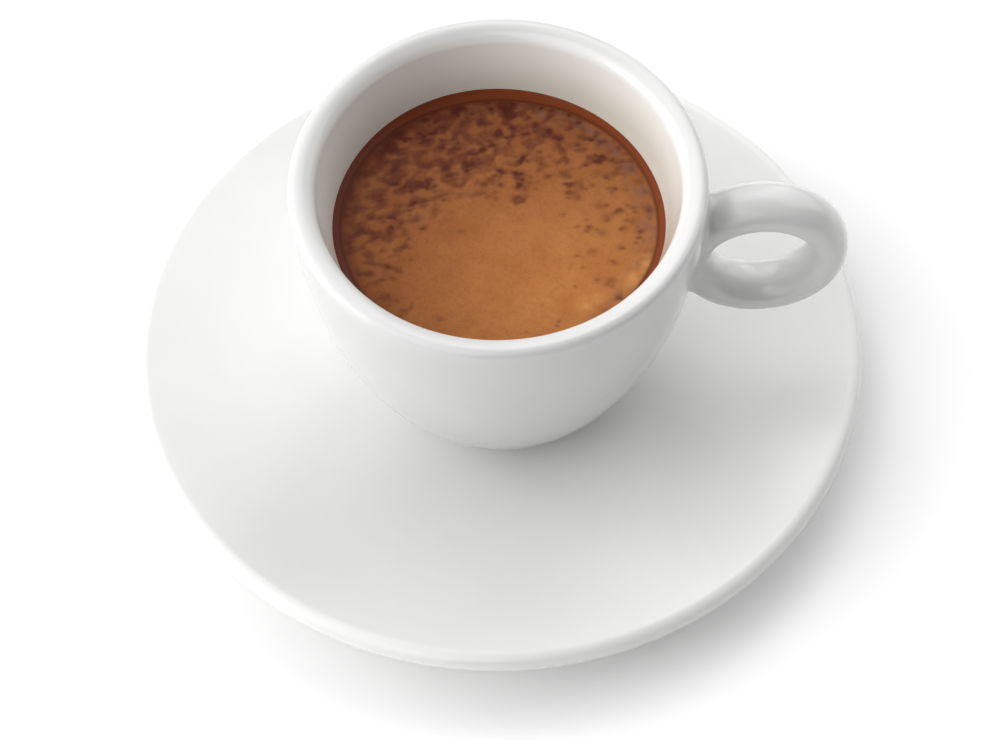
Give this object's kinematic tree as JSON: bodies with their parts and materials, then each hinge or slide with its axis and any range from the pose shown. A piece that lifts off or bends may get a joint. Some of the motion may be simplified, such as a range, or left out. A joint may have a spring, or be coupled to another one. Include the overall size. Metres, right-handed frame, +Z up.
{
  "type": "espresso shot",
  "caption": "Espresso shot with mottled brown crema in a thick white porcelain cup with a ring handle, standing on its round saucer.",
  "frame": {"origin": "middle of the saucer's foot ring, on the surface that the saucer stands on", "axes": "+Z up; +X towards the cup's ring handle; the XZ plane is the plane of the handle and the mirror plane of the whole"},
  "size_m": [0.12, 0.12, 0.0564],
  "materials": {
    "saucer_porcelain": "gloss",
    "cup_porcelain": "gloss",
    "coffee": "gloss",
    "crema": "satin"
  },
  "bodies": {
    "root": {"saucer": "saucer_porcelain", "cup": "cup_porcelain", "espresso": "coffee", "crema": "crema"}
  },
  "joints": []
}
